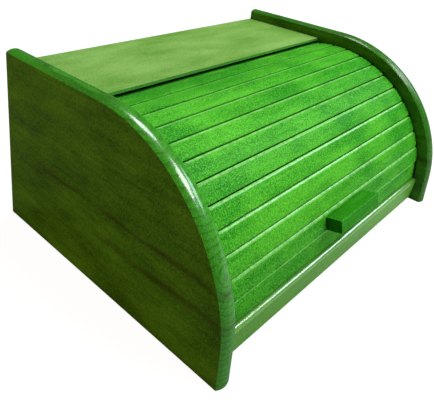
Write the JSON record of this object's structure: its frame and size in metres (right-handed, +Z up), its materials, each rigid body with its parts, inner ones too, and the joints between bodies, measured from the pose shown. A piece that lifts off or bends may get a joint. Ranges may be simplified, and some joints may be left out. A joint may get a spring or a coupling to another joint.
{
  "type": "roll-top bread bin",
  "caption": "Wooden bread bin with a slatted roll-top shutter that slides in curved side grooves, opened by a small block handle.",
  "frame": {"origin": "centre of the footprint, on the ground plane", "axes": "+X across the width, -Y towards the front, +Z up"},
  "size_m": [0.39, 0.286, 0.176],
  "materials": {
    "stained_side": "satin green stain and lacquer over solid wood",
    "stained_board": "satin green stain and lacquer over solid wood",
    "stained_slat": "satin green stain and lacquer over slats",
    "raw_beech": "unfinished",
    "canvas": "plain woven cotton",
    "screw_steel": "zinc plated"
  },
  "bodies": {
    "case": {"left_side_panel": "stained_side", "right_side_panel": "stained_side", "top_board": "stained_board", "bottom_board": "stained_board", "back_panel": "stained_board", "front_rail": "stained_slat", "top_board_dowels": "raw_beech", "bottom_board_dowels": "raw_beech", "front_rail_dowels": "raw_beech", "back_panel_screws": "screw_steel"},
    "shutter": {"slat_01": "stained_slat", "slat_02": "stained_slat", "slat_03": "stained_slat", "slat_04": "stained_slat", "slat_05": "stained_slat", "slat_06": "stained_slat", "slat_07": "stained_slat", "slat_08": "stained_slat", "slat_09": "stained_slat", "slat_10": "stained_slat", "slat_11": "stained_slat", "slat_12": "stained_slat", "slat_13": "stained_slat", "canvas_backing": "canvas", "handle": "stained_slat", "handle_screws": "screw_steel"}
  },
  "joints": [
    {"name": "shutter_slide", "type": "hinge", "parent": "case", "child": "shutter", "pos_m": [0, 0, 0.031], "axis": [-1, 0, 0], "range_deg": [0, 78]}
  ]
}
